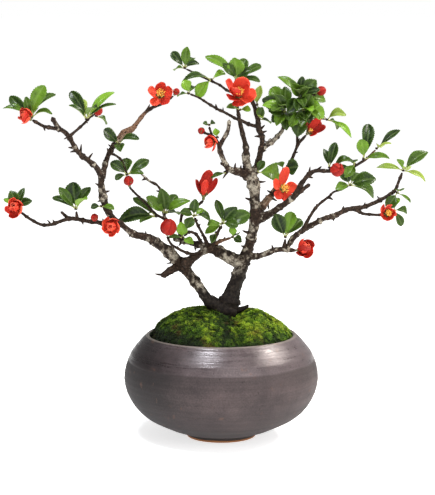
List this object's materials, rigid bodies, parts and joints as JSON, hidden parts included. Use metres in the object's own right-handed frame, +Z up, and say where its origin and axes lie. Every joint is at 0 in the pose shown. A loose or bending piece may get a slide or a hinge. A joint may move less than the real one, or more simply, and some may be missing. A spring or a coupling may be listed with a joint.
{
  "type": "flowering quince bonsai in a pot",
  "caption": "Small gnarled flowering quince tree with scarlet blooms and toothed leaves, growing from a moss mound in a squat round stoneware pot on a narrow foot.",
  "frame": {"origin": "centre of the bottom of the foot ring, on the surface that the pot stands on", "axes": "+Z up along the axis of the pot, +X to the right of the front view and along the widest spread of the tree, -Y towards the viewer of the front view"},
  "size_m": [0.3582, 0.1644, 0.3295],
  "materials": {
    "stoneware": "dark unglazed stoneware, brown grey, with a soft metallic sheen and turning rings",
    "mesh_screen": "woven black mesh",
    "soil": "dark damp grains",
    "moss": "bright green tufts with dark gaps between them",
    "bark": "rough bark, silver grey on the limbs and dark brown on the twigs and the base",
    "leaf": "glossy dark green with a paler rib and underside",
    "young_leaf": "soft yellow green",
    "petal": "scarlet, matt, paler at the edge",
    "stamen": "yellow anthers on pale filaments"
  },
  "bodies": {
    "root": {"pot": "stoneware", "drain_screen": "mesh_screen", "soil": "soil", "moss": "moss", "wood": "bark", "leaves_farLeftTuft": "leaf", "leaves_leftForkTuft": "leaf", "leaves_lowLeftTuft": "leaf", "leaves_lowLeftSpurTuft": "leaf", "leaves_tanLimbTuft": "leaf", "leaves_hangingTuft": "leaf", "leaves_clump": "leaf", "leaves_darkPair": "leaf", "leaves_hookTuft": "leaf", "leaves_innerTuft": "leaf", "leaves_spurTuft": "leaf", "leaves_brownTwigTuft": "leaf", "leaves_topTip": "leaf", "leaves_topTwigLeaves": "leaf", "leaves_crossTip": "leaf", "leaves_crownTuft": "leaf", "leaves_roundLeafLeft": "leaf", "leaves_roundLeafRight": "leaf", "leaves_lowRightPair": "leaf", "leaves_outerTip": "leaf", "leaves_outerLeaf": "leaf", "leaves_bloomTwigTuft": "leaf", "leaves_thornyTip": "leaf", "leaves_fanLeaf": "leaf", "leaves_archedPair": "leaf", "leaves_uprightPair": "leaf", "leaves_rightShoot": "young_leaf", "leaves_oliveUpright": "young_leaf", "leaves_crownHeart": "leaf", "leaves_crownEast": "leaf", "leaves_crownNorth": "leaf", "leaves_paleLeaf": "young_leaf", "bloom_leftBloom": "petal", "stamens_leftBloom": "stamen", "bloom_crownBloom": "petal", "stamens_crownBloom": "stamen", "bloom_starBloom": "petal", "stamens_starBloom": "stamen", "bloom_outerBloom": "petal", "stamens_outerBloom": "stamen", "bloom_farLeftBloom": "petal", "bloom_endBloomLeft": "petal", "bloom_lowLeftBloom": "petal", "bloom_smallBloom": "petal", "bloom_lowRightBloom": "petal", "bloom_halfOpenRight": "petal", "bloom_hangingTrumpet": "petal", "bud_leftBud": "petal", "bud_smallBudLeft": "petal", "bud_smallBudRight": "petal", "bud_roundBudRight": "petal", "bud_hangingBud": "petal", "bud_roundRedBud": "petal"}
  },
  "joints": []
}
